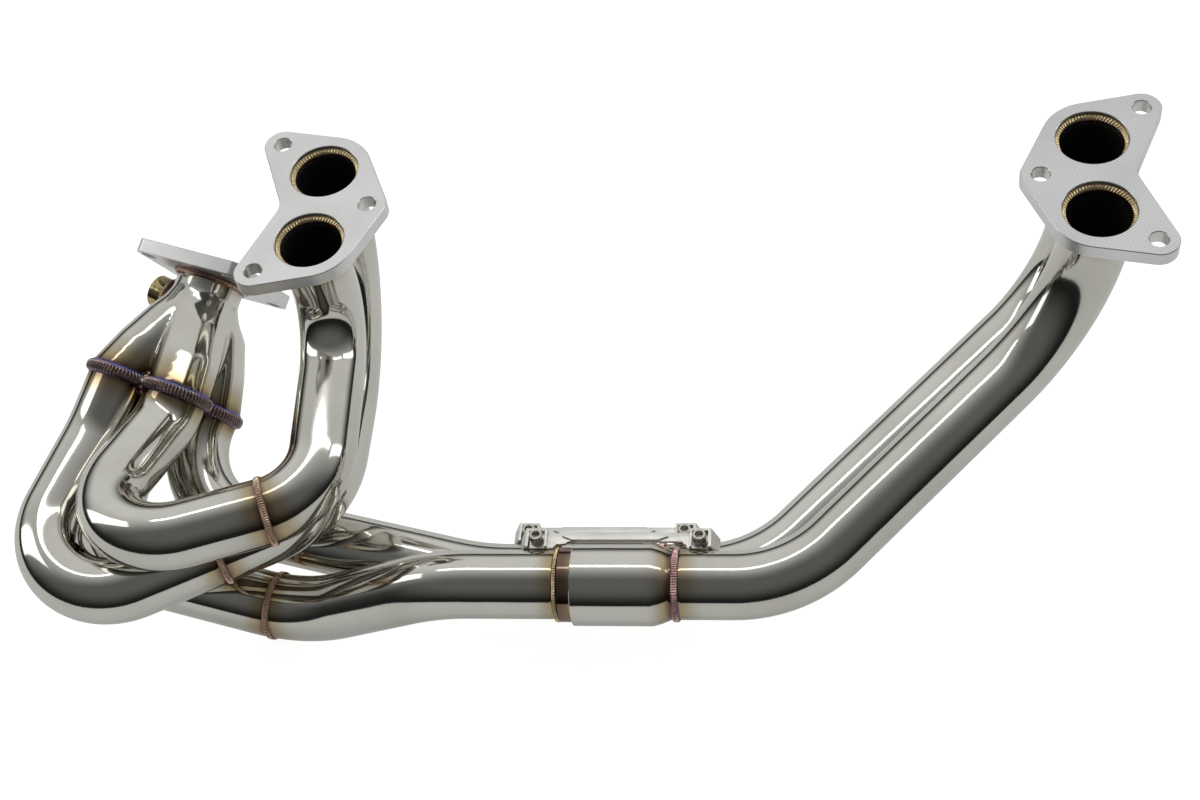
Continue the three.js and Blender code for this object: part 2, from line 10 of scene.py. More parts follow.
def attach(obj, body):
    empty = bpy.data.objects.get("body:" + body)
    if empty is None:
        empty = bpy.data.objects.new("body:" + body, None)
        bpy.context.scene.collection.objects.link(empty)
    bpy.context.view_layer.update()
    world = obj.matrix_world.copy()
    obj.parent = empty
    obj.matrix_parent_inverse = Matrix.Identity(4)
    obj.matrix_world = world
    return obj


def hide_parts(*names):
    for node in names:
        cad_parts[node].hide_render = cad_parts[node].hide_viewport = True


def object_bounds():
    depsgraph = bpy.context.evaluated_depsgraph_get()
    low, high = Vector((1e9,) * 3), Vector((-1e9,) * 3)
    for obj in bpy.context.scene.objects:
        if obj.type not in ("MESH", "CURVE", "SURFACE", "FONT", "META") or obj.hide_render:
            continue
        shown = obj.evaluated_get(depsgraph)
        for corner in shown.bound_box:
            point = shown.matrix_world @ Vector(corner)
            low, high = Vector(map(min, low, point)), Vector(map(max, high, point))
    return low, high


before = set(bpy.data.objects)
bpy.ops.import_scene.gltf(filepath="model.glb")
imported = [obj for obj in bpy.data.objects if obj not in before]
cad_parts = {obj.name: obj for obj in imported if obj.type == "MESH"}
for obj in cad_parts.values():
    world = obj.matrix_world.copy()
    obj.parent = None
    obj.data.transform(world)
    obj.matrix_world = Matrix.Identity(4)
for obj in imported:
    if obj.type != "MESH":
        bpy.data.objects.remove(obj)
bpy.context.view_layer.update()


# ---- polished tubes ----
# The runners are bent from stainless steel tube, polished to a mirror and welded end to end.
# Each is swept along its centre line. The weld_distance value on its points is the distance in
# millimetres to the nearest weld, and colours the steel straw, brown and blue beside it.

MM = 0.001
TUBE_RADIUS = 22.225
TUBE_WALL = 1.5
FLOW = Vector((0.326, 0.865, 0.382)).normalized()
INLET_X = Vector((0.759, 0, -0.651))
INLET_X = (INLET_X - FLOW * INLET_X.dot(FLOW)).normalized()
INLET_Z = INLET_X.cross(FLOW)
COLLECTOR_CENTRE = Vector((-136, -48.8, -140))
INLET_OFFSET = 33.5
RIGHT_FLANGE = Vector((500.7, 11.2, 0))
PORT = 30.55
FRONT_JOINT = Vector((197.6, -201.6, -146.1))
REAR_JOINT = Vector((183, -168.2, -191.2))


class Socket:
    """An output of a shader node, or a result worked out from some."""

    def __init__(self, tree, output):
        self.tree = tree
        self.output = output

    def math(self, operation, left, right=0.0):
        return node(self.tree, "ShaderNodeMath", {"operation": operation}, {0: left, 1: right})

    def __add__(self, other):
        return self.math("ADD", self, other)

    def __sub__(self, other):
        return self.math("SUBTRACT", self, other)

    def __rsub__(self, other):
        return self.math("SUBTRACT", other, self)

    def __mul__(self, other):
        return self.math("MULTIPLY", self, other)

    def between(self, low, high):
        """0 up to low, 1 from high, and smooth between them."""
        values = {"Value": self, "From Min": low, "From Max": high}
        return node(self.tree, "ShaderNodeMapRange", {"interpolation_type": "SMOOTHSTEP"}, values)

    __radd__ = __add__
    __rmul__ = __mul__


def node(tree, kind, settings, inputs, output=0):
    made = tree.nodes.new(kind)
    for name, value in settings.items():
        setattr(made, name, value)
    for name, value in inputs.items():
        if isinstance(value, Socket):
            tree.links.new(value.output, made.inputs[name])
        else:
            made.inputs[name].default_value = value
    return Socket(tree, made.outputs[output])


def blend_colour(factor, first, second):
    colours = {0: factor, 6: first, 7: second}
    return node(factor.tree, "ShaderNodeMix", {"data_type": "RGBA"}, colours, 2)


def metal(name):
    """A new metal material: its node tree and its surface node."""
    material = bpy.data.materials.new(name)
    material.use_nodes = True
    surface = material.node_tree.nodes["Principled BSDF"]
    surface.inputs["Metallic"].default_value = 1.0
    return material, material.node_tree, surface


def feed(surface, name, socket):
    socket.tree.links.new(socket.output, surface.inputs[name])


def object_noise(tree, scale, detail=2.0, stretch=(1, 1, 1)):
    """Noise of a scale in spots per metre, pulled out along an axis by a small stretch."""
    place = node(tree, "ShaderNodeTexCoord", {}, {}, 3)
    moved = node(tree, "ShaderNodeMapping", {}, {"Vector": place, "Scale": stretch})
    return node(tree, "ShaderNodeTexNoise", {}, {"Vector": moved, "Scale": scale, "Detail": detail})


def mesh_value(tree, name):
    return node(tree, "ShaderNodeAttribute", {"attribute_name": name}, {}, 2)


def bump(tree, height, strength, distance):
    values = {"Height": height, "Strength": strength, "Distance": distance}
    return node(tree, "ShaderNodeBump", {}, values)


def on_collector(height, x=0.0, z=0.0):
    return COLLECTOR_CENTRE + FLOW * height + INLET_X * x + INLET_Z * z


def polished_steel(name, tint):
    """tint scales how far the heat colours reach from a weld."""
    material, tree, surface = metal(name)
    wander = object_noise(tree, 55) - 0.5
    distance = mesh_value(tree, "weld_distance") * (1 / tint) + wander * 5
    fine = object_noise(tree, 700, 3)
    cloud = object_noise(tree, 14, 3)
    steel = blend_colour(cloud.between(0.35, 0.7), (0.70, 0.69, 0.635, 1), (0.61, 0.60, 0.54, 1))
    straw = blend_colour(distance.between(4, 20), (0.46, 0.37, 0.22, 1), steel)
    brown = blend_colour(distance.between(0.5, 7), (0.19, 0.125, 0.095, 1), straw)
    blue = blend_colour(distance.between(-2.5, 0.8), (0.12, 0.13, 0.30, 1), brown)
    feed(surface, "Base Color", blue)
    feed(surface, "Roughness", fine.between(0.3, 0.8) * 0.03 + cloud * 0.05 + 0.055)
    feed(surface, "Normal", bump(tree, object_noise(tree, 38, 1), 0.10, 0.0011))
    return material


def painted_shade_inside():
    # Painted shade: the inner walls are coloured near black, with a faint random mottle, so the bores look
    # dark under any light.
    material, tree, surface = metal("painted_shade_inside")
    surface.inputs["Metallic"].default_value = 0.0
    inside_mottle = object_noise(tree, 160, 4)
    feed(surface, "Base Color", blend_colour(inside_mottle, (0.006, 0.006, 0.006, 1), (0.022, 0.020, 0.018, 1)))
    feed(surface, "Roughness", inside_mottle * 0.3 + 0.45)
    return material


polished = polished_steel("polished_steel", 1.0)
# The inner walls of the tubes and the collector get this near black painted shade.
inside = painted_shade_inside()


class Run:
    """A tube's centre line: straights and bends through its corners, in millimetres."""

    def __init__(self, corners, radii):
        corners = [Vector(corner) for corner in corners]
        ways = [(b - a).normalized() for a, b in zip(corners, corners[1:])]
        side = ways[0].orthogonal().normalized()
        axes = Matrix((side, ways[0].cross(side), ways[0])).transposed().to_4x4()
        self.frame = Matrix.Translation(corners[0]) @ axes
        self.length = 0.0
        self.spans = []
        for corner, incoming, outgoing, radius in zip(corners[1:], ways, ways[1:], radii):
            turn = incoming.angle(outgoing)
            bend_start = corner - incoming * radius * math.tan(turn / 2)
            inward = (outgoing - incoming * math.cos(turn)).normalized()
            self.add((bend_start - self.frame.translation).length, None, 0, None)
            self.add(radius * turn, bend_start + inward * radius, radius, incoming.cross(outgoing))
        self.add((corners[-1] - self.frame.translation).length, None, 0, None)

    def add(self, length, centre, radius, axis):
        self.spans.append((self.length, length, self.frame, centre, radius, axis))
        self.length += length
        self.frame = self.at(self.length)

    def at(self, distance):
        """The frame at a distance along the run, with its Z axis along the tube."""
        begin, _, start, centre, radius, axis = [s for s in self.spans if s[0] <= distance + 1e-9][-1]
        if centre is None:
            return Matrix.Translation(start.col[2].to_3d() * (distance - begin)) @ start
        turn = Matrix.Rotation((distance - begin) / radius, 4, axis)
        return Matrix.Translation(centre) @ turn @ Matrix.Translation(-centre) @ start

    def stations(self, low, high):
        """Distances from low to high: every 6 mm of a straight and every 3 degrees of a bend."""
        found = set()
        for begin, length, _, _, radius, _ in self.spans:
            count = max(1, math.ceil(length / (math.radians(3) * radius or 6)))
            found |= {begin + length * i / count for i in range(count + 1)}
        shortest_step = 0.3
        inner = [s for s in sorted(found) if low + shortest_step < s < high - shortest_step]
        return [low, *inner, high]


def new_piece(name, mesh, body, nodes, materials):
    """Turns a mesh in millimetres into a shown piece that stands for CAD nodes."""
    bmesh.ops.recalc_face_normals(mesh, faces=mesh.faces)
    bmesh.ops.scale(mesh, verts=mesh.verts, vec=(MM, MM, MM))
    for face in mesh.faces:
        face.smooth = True
    data = bpy.data.meshes.new(name)
    mesh.to_mesh(data)
    mesh.free()
    for material in materials:
        data.materials.append(material)
    piece = bpy.data.objects.new(name, data)
    bpy.context.scene.collection.objects.link(piece)
    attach(piece, body)
    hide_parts(*nodes)
    return piece


def sharp_edges(piece, degrees):
    """Keeps edges that turn further than this crisp."""
    data = piece.data
    data.set_sharp_from_angle(angle=math.radians(degrees))
    return piece


def tube(name, run, low, high, welds, body="left_bank"):
    """A tube along part of a run, with welds at these distances."""
    mesh = bmesh.new()
    heat = mesh.verts.layers.float.new("weld_distance")
    stations = run.stations(low, high)
    ring = bmesh.ops.create_circle(mesh, segments=64, radius=TUBE_RADIUS, matrix=run.at(low))["verts"]
    edges = mesh.edges[:]
    for before, here in zip([low, *stations], stations):
        if here > low:
            made = bmesh.ops.extrude_edge_only(mesh, edges=edges)["geom"]
            ring = [item for item in made if isinstance(item, bmesh.types.BMVert)]
            edges = [e for e in made if isinstance(e, bmesh.types.BMEdge) and set(e.verts) <= set(ring)]
            step = run.at(here) @ run.at(before).inverted()
            bmesh.ops.transform(mesh, verts=ring, matrix=step)
        for vert in ring:
            vert[heat] = min(abs(here - weld) for weld in welds)
    piece = new_piece("polished_" + name, mesh, body, [name], [polished, inside])
    wall = piece.modifiers.new("wall", "SOLIDIFY")
    wall.thickness = TUBE_WALL * MM
    wall.offset = -1
    wall.material_offset = 1
    wall.material_offset_rim = 0
    return piece


def to_collector(corners, radii, side, lead):
    """A run whose last straight lies along the gas flow, at the collector's inlet on that side."""
    x, z = (INLET_OFFSET * part for part in side)
    return Run([*corners, on_collector(-lead, x, z), on_collector(0, x, z)], radii)


left_front_run = to_collector(
    [(0, -PORT, -6), (0, -PORT, -85.4), (3.5, -163.7, -101.4), (-168.5, -223, -97.4)],
    [49, 48, 48, 40], (0, 1), 20.1)
left_rear_run = to_collector(
    [(0, PORT, -6), (0, PORT, -128.5), (-4, -143.1, -143.8), (-224.3, -250.6, -150.8)],
    [113.5, 66.7, 49, 66], (-1, 0), 42.9)
front_run = to_collector(
    [(160.4, -201.6, -146.1), (79.3, -201.6, -146.1), (-24, -191.7, -201.1), (-174.4, -161, -181)],
    [89, 102, 60, 60], (0, -1), 61.1)
rear_run = to_collector([(145.8, -168.2, -191.2), (98, -168.2, -191.2)], [168, 56.5], (1, 0), 72.2)
right_front_run = Run(
    [RIGHT_FLANGE + Vector((0, -PORT, -6)), RIGHT_FLANGE + Vector((0, -PORT, -86.7)),
     (310, -201.6, -146.1), (234.9, -201.6, -146.1)], [99, 90])
right_rear_run = Run(
    [RIGHT_FLANGE + Vector((0, PORT, -6)), RIGHT_FLANGE + Vector((0, PORT, -134.4)),
     (285.5, -168.2, -191.2), (220.3, -168.2, -191.2)], [79, 97])

# Where welds lie along the tubes: in the port, at the butt joints, at the slip joint's spigot and
# at the collector's band.
PORT_WELD = 2
SPIGOT_WELD = -3
BAND_REACH = 4
BUTT_WELDS = {"left_front": (left_front_run, 221.8), "left_rear": (left_rear_run, 325.3),
              "front_crossover": (front_run, 215)}
BUTT_GAP = 0.1

for name in ("left_front", "left_rear"):
    run, weld = BUTT_WELDS[name]
    tube(f"{name}_upper_tube", run, 0, weld - BUTT_GAP, [PORT_WELD, weld])
    tube(f"{name}_loop_tube", run, weld + BUTT_GAP, run.length, [weld, run.length - BAND_REACH])
run, weld = BUTT_WELDS["front_crossover"]
tube("front_crossover_tube", run, 0, weld - BUTT_GAP, [SPIGOT_WELD, weld])
tube("front_crossover_return_tube", run, weld + BUTT_GAP, run.length, [weld, run.length - BAND_REACH])
tube("rear_crossover_tube", rear_run, 0, rear_run.length, [SPIGOT_WELD, rear_run.length - BAND_REACH])
for name, run in (("right_front_tube", right_front_run), ("right_rear_tube", right_rear_run)):
    tube(name, run, 0, run.length, [PORT_WELD, run.length + 1], "right_bank")


# ---- weld beads ----
# Each joint is closed by a hand laid bead of filler, rippled and coloured by its own heat.
# On a bead the weld_distance value runs across it from -1 to 1 and gives each edge its colour.

BEAD_STEPS = 616
BEAD_RIPPLES = 88


def bead_steel(name, middle, low_edge, high_edge):
    material, tree, surface = metal(name)
    across = mesh_value(tree, "weld_distance") + (object_noise(tree, 90) - 0.5) * 0.7
    spots = object_noise(tree, 420, 2)
    shaded = (*(0.62 * part for part in middle[:3]), 1)
    crown = blend_colour(spots.between(0.35, 0.75), middle, shaded)
    coloured = blend_colour(across.between(-1.0, -0.35), low_edge, crown)
    feed(surface, "Base Color", blend_colour(across.between(0.35, 1.0), coloured, high_edge))
    feed(surface, "Roughness", spots * 0.12 + 0.09)
    feed(surface, "Normal", bump(tree, spots, 0.25, 0.0003))
    return material


gold_bead = bead_steel("gold_bead", (0.86, 0.70, 0.40, 1), (0.40, 0.24, 0.15, 1), (0.60, 0.45, 0.27, 1))
rose_bead = bead_steel("rose_bead", (0.80, 0.58, 0.42, 1), (0.34, 0.19, 0.16, 1), (0.46, 0.27, 0.20, 1))
dark_bead = bead_steel("dark_bead", (0.50, 0.33, 0.24, 1), (0.12, 0.13, 0.34, 1), (0.34, 0.18, 0.26, 1))
copper_bead = bead_steel("copper_bead", (0.86, 0.54, 0.47, 1), (0.34, 0.20, 0.22, 1), (0.22, 0.22, 0.40, 1))


def turned(mesh, profile, place, direction, segments=96, ripples=0, depth=0.0):
    """A closed ring or turned piece. The profile lists (radius, height, weld_distance)."""
    layers = mesh.verts.layers.float
    heat = layers.get("weld_distance") or layers.new("weld_distance")
    side = direction.orthogonal().normalized()
    axes = Matrix((side, direction.cross(side), direction)).transposed()
    first = []
    for radius, height, value in profile:
        vert = mesh.verts.new((radius, 0, height))
        vert[heat] = value
        first.append(vert)
    ends = [*zip(first, first[1:])]
    if profile[0][0] > 0:
        ends.append((first[-1], first[0]))
    edges = [mesh.edges.new(pair) for pair in ends]
    old = set(mesh.verts) - set(first)
    bmesh.ops.spin(
        mesh, geom=first + edges, cent=(0, 0, 0), axis=(0, 0, 1), angle=2 * math.pi,
        steps=segments, use_merge=True)
    made = [vert for vert in mesh.verts if vert not in old]
    crown = max(radius for radius, _, _ in profile)
    for vert in made:
        out = math.hypot(vert.co.x, vert.co.y)
        if ripples and out > crown - 1.6:
            phase = ripples * math.atan2(vert.co.y, vert.co.x) + 2.2 * vert[heat] ** 2
            push = 1 + depth * (math.sin(phase) - 1) * (out - crown + 1.6) / 1.6 / out
            vert.co.x *= push
            vert.co.y *= push
    flat = [vert for vert in made if math.hypot(vert.co.x, vert.co.y) < 1e-6]
    bmesh.ops.remove_doubles(mesh, verts=flat, dist=1e-5)
    made = [vert for vert in mesh.verts if vert not in old]
    bmesh.ops.transform(mesh, verts=made, matrix=Matrix.Translation(place) @ axes.to_4x4())


def bead(name, place, direction, low, high, rise, material, body="left_bank"):
    """A rippled bead round a tube, between two heights along it."""
    mesh = bmesh.new()
    inner = TUBE_RADIUS + 0.25
    middle, half = (low + high) / 2, (high - low) / 2
    profile = [(inner, low, -1)]
    for i in range(9):
        across = i / 4 - 1
        dome = math.sqrt(max(0, 1 - across**2))
        profile.append((inner + 0.15 + rise * dome, middle + half * across, across))
    profile.append((inner, high, 1))
    turned(mesh, profile, place, direction, BEAD_STEPS, BEAD_RIPPLES, 0.32)
    return new_piece(name.replace("weld", "bead"), mesh, body, [name], [material])


for name, (run, weld) in BUTT_WELDS.items():
    here = run.at(weld)
    bead(f"{name}_butt_weld", here.translation, here.col[2].to_3d(), -2.4, 2.4, 0.9, rose_bead)


def port_bead(name, place, body):
    """The rippled gold step between a tube's end and the port above it."""
    mesh = bmesh.new()
    profile = [(22.7, -5.7, 1), (19.9, -5.7, -1), (19.9, -4.9, -1), (20.6, -4.0, -0.6),
               (21.6, -3.3, -0.2), (22.5, -2.9, 0.3), (22.7, -2.7, 1)]
    turned(mesh, profile, place, Vector((0, 0, 1)), 384)
    heat = mesh.verts.layers.float["weld_distance"]
    for vert in mesh.verts:
        if place.z - 5 < vert.co.z < place.z - 2.8:
            spot = vert.co - place
            vert.co.z += 0.34 * math.sin(64 * math.atan2(spot.y, spot.x) + 2 * vert[heat])
    return new_piece(name.replace("weld", "bead"), mesh, body, [name], [gold_bead])


for side, centre in (("left", Vector((0, 0, 0))), ("right", RIGHT_FLANGE)):
    port_bead(f"{side}_front_port_weld", centre + Vector((0, -PORT, 0)), f"{side}_bank")
    port_bead(f"{side}_rear_port_weld", centre + Vector((0, PORT, 0)), f"{side}_bank")


# ---- slip joints ----
# A thin spigot welded to each left tube slides in a swaged sleeve welded to the right tube, so
# that the two banks can grow with heat. Both are polished steel, browned where they are welded.
# On the spigot the brown is spread over its whole bare ring up to the sleeve's mouth. It is partly
# heat tint and partly painted shade, standing for the shadow in that gap.

ALONG = Vector((1, 0, 0))
# A tint of 1.7 spreads the dark brown over the spigot's bare ring: heat tint plus painted shade.
spigot_heat_and_shade_steel = polished_steel("spigot_heat_and_shade_steel", 1.7)
sleeve_steel = polished_steel("sleeve_steel", 0.7)

for name, middle in (("front", FRONT_JOINT), ("rear", REAR_JOINT)):
    mesh = bmesh.new()
    profile = [(22.5, -36.5, 1), (23.7, -36.5, 1), (24, -36.2, 1), (24, -30, 4), (24, -20, 14),
               (24, 17.4, 40), (22.5, 17.4, 40)]
    turned(mesh, profile, middle, ALONG)
    piece = new_piece(
        f"{name}_spigot_ring", mesh, "left_bank", [f"{name}_slip_spigot"], [spigot_heat_and_shade_steel])
    sharp_edges(piece, 40)
    mesh = bmesh.new()
    outside = [(26.0, -28.1, 50), (26.4, -27.7, 50), (26.4, 22.6, 12), (26.2, 24.1, 11),
               (24.6, 29.4, 6), (22.6, 34.3, 1), (TUBE_RADIUS, 34.9, 0), (TUBE_RADIUS, 36.8, 0)]
    within = [(20.7, 36.8, 0), (20.7, 34.9, 0), (24.3, 24.1, 11), (24.3, -27.7, 50),
              (24.6, -28.1, 50)]
    turned(mesh, outside + within, middle, ALONG)
    piece = new_piece(
        f"{name}_sleeve", mesh, "right_bank", [f"{name}_slip_sleeve"], [sleeve_steel])
    sharp_edges(piece, 35)
    bead(f"{name}_spigot_weld", middle, ALONG, -39.8, -36.7, 1.7, gold_bead)
    bead(f"{name}_sleeve_weld", middle, ALONG, 35.8, 40.6, 1.2, copper_bead, "right_bank")


# ---- head flanges ----
# Plates of 10 mm stainless steel, cut to a five lobed outline and milled flat, with broken edges.
# The right face still shows the fine marks of the cutter. The tubes are welded in from below.

PLATE_THICKNESS = 10


def milled_steel(name, marks):
    """marks is how strongly the arcs of the cutter show."""
    material, tree, surface = metal(name)
    place = node(tree, "ShaderNodeTexCoord", {}, {}, 3)
    turn = {"Vector": place, "Rotation": (0, 0, 0.9)}
    turned_place = node(tree, "ShaderNodeMapping", {}, turn)
    settings = {"wave_type": "BANDS", "bands_direction": "X"}
    values = {
        "Vector": turned_place, "Scale": 190.0, "Distortion": 1.2, "Detail": 2.0, "Detail Scale": 0.4}
    arcs = node(tree, "ShaderNodeTexWave", settings, values, 1)
    grain = object_noise(tree, 900, 2)
    cloud = object_noise(tree, 22, 3)
    facing = node(tree, "ShaderNodeNewGeometry", {}, {}, 1)
    arcs = arcs * node(tree, "ShaderNodeSeparateXYZ", {}, {"Vector": facing}, 2).between(0.6, 0.9)
    pale = blend_colour(cloud.between(0.3, 0.75), (0.85, 0.85, 0.84, 1), (0.75, 0.75, 0.74, 1))
    feed(surface, "Base Color", blend_colour(arcs * marks, pale, (0.50, 0.51, 0.52, 1)))
    feed(surface, "Roughness", grain * 0.10 + cloud * 0.08 + 0.26)
    feed(surface, "Normal", bump(tree, arcs * marks + grain * 0.2, 0.22, 0.0002))
    return material


left_plate = milled_steel("milled_steel", 0.12)
right_plate = milled_steel("milled_steel_with_marks", 0.75)


def circle(x, y, radius, count=72):
    turns = [2 * math.pi * (i + 0.5) / count for i in range(count)]
    return [Vector((x + radius * math.cos(a), y + radius * math.sin(a), 0)) for a in turns]


def belt(discs, step=math.radians(4)):
    """The outline of a belt round discs (x, y, radius); a negative radius presses a hollow in."""
    normals = []
    for (ax, ay, ar), (bx, by, br) in zip(discs, discs[1:] + discs[:1]):
        span = math.hypot(bx - ax, by - ay)
        normals.append(math.atan2(by - ay, bx - ax) - math.acos((ar - br) / span))
    points = []
    for i, (x, y, radius) in enumerate(discs):
        start = normals[i - 1]
        sweep = (normals[i] - start) % (2 * math.pi)
        if radius < 0:
            sweep -= 2 * math.pi
        count = max(1, round(abs(sweep) / step))
        angles = [start + sweep * k / count for k in range(count + 1)]
        points += [Vector((x + radius * math.cos(a), y + radius * math.sin(a), 0)) for a in angles]
    return points


def plate(loops_at, thickness, chamfer, matrix):
    """A plate with holes; loops_at(inset) gives its outline and holes drawn in by that much."""
    mesh = bmesh.new()
    levels = [(0, chamfer), (chamfer, 0), (thickness - chamfer, 0), (thickness, chamfer)]
    below = None
    for height, inset in levels:
        here = []
        for loop in loops_at(inset):
            verts = [mesh.verts.new((p.x, p.y, height)) for p in loop]
            here.append([mesh.edges.new(pair) for pair in zip(verts, verts[1:] + verts[:1])])
        if below:
            for low, high in zip(below, here):
                bmesh.ops.bridge_loops(mesh, edges=low + high)
        if height in (0, thickness):
            bmesh.ops.triangle_fill(mesh, edges=[edge for loop in here for edge in loop], use_beauty=True)
        below = here
    bmesh.ops.transform(mesh, verts=mesh.verts, matrix=matrix)
    return mesh


def head_loops(side):
    def loops(inset):
        studs = [(-33.9, 0), (32.9, 56.2), (32.9, -56.2)]
        lobes = [(32.9, 56.2, 12.8), (0, PORT, 31.8), (-33.9, 0, 13), (0, -PORT, 31.8),
                 (32.9, -56.2, 12.8)]
        hollow = (39.6, 0, -14)
        outline = belt([(x, y, radius - inset) for x, y, radius in [*lobes, hollow]])
        holes = [circle(x, y, 6 + inset, 48) for x, y in studs]
        holes += [circle(0, y, 23 + inset) for y in (-PORT, PORT)]
        return [[Vector((side * p.x, p.y, 0)) for p in loop] for loop in [outline, *holes]]
    return loops


for name, side, centre, material in (
    ("left", -1, Vector((0, 0, 0)), left_plate), ("right", 1, RIGHT_FLANGE, right_plate)
):
    back_face = Matrix.Translation(centre - Vector((0, 0, PLATE_THICKNESS)))
    mesh = plate(head_loops(side), PLATE_THICKNESS, 0.45, back_face)
    piece = new_piece(
        f"{name}_plate", mesh, f"{name}_bank", [f"{name}_head_flange"], [material])
    sharp_edges(piece, 30)


# ---- merge collector ----
# Four lobes of pressed and polished sheet flow into one neck, and a thick dark bead joins them to
# the four tubes. The lobes are cones, fused and smoothed, cut open at both ends and given a wall.

collector_steel = polished_steel("collector_steel", 1.0)
valley_bead = bead_steel(
    "valley_bead", (0.52, 0.40, 0.37, 1), (0.17, 0.11, 0.16, 1), (0.11, 0.12, 0.32, 1))


def cone(mesh, start, end, low_radius, high_radius):
    """A slanted cone between two discs that both face along the flow."""
    levels = []
    for centre, radius in ((start, low_radius), (end, high_radius)):
        axes = Matrix((INLET_X, FLOW.cross(INLET_X), FLOW)).transposed().to_4x4()
        matrix = Matrix.Translation(centre) @ axes
        made = bmesh.ops.create_circle(mesh, segments=64, radius=radius, matrix=matrix, cap_ends=True)
        levels.append({edge for vert in made["verts"] for edge in vert.link_edges})
    bmesh.ops.bridge_loops(mesh, edges=[*levels[0], *levels[1]])


def fused(mesh, name, voxel, passes):
    """The union of overlapping solids in a mesh, smoothed, as a new mesh in millimetres."""
    bmesh.ops.recalc_face_normals(mesh, faces=mesh.faces)
    data = bpy.data.meshes.new(name)
    mesh.to_mesh(data)
    mesh.free()
    rough = bpy.data.objects.new(name, data)
    bpy.context.scene.collection.objects.link(rough)
    remesh = rough.modifiers.new("fuse", "REMESH")
    remesh.mode = "VOXEL"
    remesh.voxel_size = voxel
    smooth = rough.modifiers.new("smooth", "SMOOTH")
    smooth.factor = 0.5
    smooth.iterations = passes
    done = rough.evaluated_get(bpy.context.evaluated_depsgraph_get())
    result = bmesh.new()
    result.from_mesh(done.to_mesh())
    done.to_mesh_clear()
    bpy.data.objects.remove(rough)
    return result


def cut_off(mesh, place, normal):
    """Cuts away what lies beyond a plane and leaves the cut open."""
    everything = mesh.verts[:] + mesh.edges[:] + mesh.faces[:]
    bmesh.ops.bisect_plane(mesh, geom=everything, plane_co=place, plane_no=normal, clear_outer=True)


# The side each lobe enters on, and how far out it still stands at its shoulder.
SIDES = (((0, 1), 12), ((-1, 0), 12), ((0, -1), 13), ((1, 0), 17))
NECK_RADIUS = 24.2
OUTLET_UNDERSIDE = 88
NECK_END = OUTLET_UNDERSIDE + 6
MOUTH = 0.3
VOXEL = 1.0
SMOOTHING = 34

mesh = bmesh.new()
for (x, z), shoulder in SIDES:
    stations = [(-8, INLET_OFFSET, TUBE_RADIUS), (4, INLET_OFFSET, 22.4),
                (30, shoulder / 2 + 17.5, 22.6), (55, shoulder, 22.0), (66, shoulder * 0.36, 23.2),
                (76, 0, 24.0)]
    discs = [(on_collector(up, x * out, z * out), radius) for up, out, radius in stations]
    for (start, start_radius), (end, end_radius) in zip(discs, discs[1:]):
        cone(mesh, start, end, start_radius, end_radius)
cone(mesh, on_collector(70), on_collector(104), NECK_RADIUS, NECK_RADIUS)
mesh = fused(mesh, "lobes", VOXEL, SMOOTHING)
cut_off(mesh, on_collector(NECK_END), FLOW)
cut_off(mesh, on_collector(MOUTH), -FLOW)
heat = mesh.verts.layers.float.new("weld_distance")
for vert in mesh.verts:
    height = (vert.co - COLLECTOR_CENTRE).dot(FLOW)
    vert[heat] = min(abs(height - 3) * 0.75, abs(OUTLET_UNDERSIDE - height) * 2.2)
collector = new_piece(
    "collector_shell", mesh, "left_bank", ["merge_collector"], [collector_steel, inside])
wall = collector.modifiers.new("wall", "SOLIDIFY")
wall.thickness = TUBE_WALL * MM
wall.offset = -1
wall.material_offset = 1

mesh = bmesh.new()
for (x, z), _ in SIDES:
    profile = [(22.5, -5, -1)]
    for i in range(9):
        across = i / 4 - 1
        dome = math.sqrt(max(0, 1 - across**2))
        profile.append((22.7 + 3.1 * dome, 4.3 * across, across))
    profile.append((22.5, 5, 1))
    mouth = on_collector(0, x * INLET_OFFSET, z * INLET_OFFSET)
    turned(mesh, profile, mouth, FLOW, BEAD_STEPS, 62, 0.95)
plug = [(0, -4, -0.5), (10, -3.5, -0.5), (12, 0, 0), (10, 3.5, 0.5), (0, 5, 0.5)]
turned(mesh, plug, COLLECTOR_CENTRE, FLOW, 64)
spatter = ((-6.5, 28.5, 2.3), (-3, 31, 2.8), (0.5, 33, 3.0), (4, 31, 2.6), (7, 29, 2.0))
for height, out, radius in spatter:
    for x, z in ((1, 1), (-1, 1), (-1, -1), (1, -1)):
        place = on_collector(height + 0.6 * x, x * out * math.sqrt(0.5), z * out * math.sqrt(0.5))
        lump = Matrix.Translation(place)
        bmesh.ops.create_icosphere(mesh, subdivisions=3, radius=radius, matrix=lump)
new_piece("collector_bead", mesh, "left_bank", ["collector_weld_band"], [valley_bead])


# ---- outlet flange and sensor bung ----
# A square plate of milled steel is welded round the collector's neck and leans a little from it.
# A turned bung for a sensor stands beside the neck, tinted gold by its own weld.

bung_steel = bead_steel(
    "olive_steel", (0.50, 0.42, 0.20, 1), (0.40, 0.30, 0.16, 1), (0.34, 0.33, 0.22, 1))

NORMAL = (FLOW - INLET_X * math.tan(math.radians(2.3))).normalized()
turned_x = Matrix.Rotation(math.radians(-46), 3, FLOW) @ INLET_X
ACROSS = (turned_x - NORMAL * turned_x.dot(NORMAL)).normalized()
outlet_axes = Matrix((ACROSS, NORMAL.cross(ACROSS), NORMAL)).transposed().to_4x4()
outlet_frame = Matrix.Translation(on_collector(OUTLET_UNDERSIDE)) @ outlet_axes


def outlet_loops(inset):
    signs = [(1, 1), (-1, 1), (-1, -1), (1, -1)]
    outline = belt([(36.25 * x, 36.25 * y, 6 - inset) for x, y in signs])
    holes = [circle(33.8 * x, 33.8 * y, 5.5 + inset, 40) for x, y in signs]
    return [outline, *holes, circle(0, 0, 24.6 + inset)]


mesh = plate(outlet_loops, PLATE_THICKNESS, 0.5, outlet_frame)
piece = new_piece("outlet_plate", mesh, "left_bank", ["outlet_flange"], [left_plate])
sharp_edges(piece, 30)

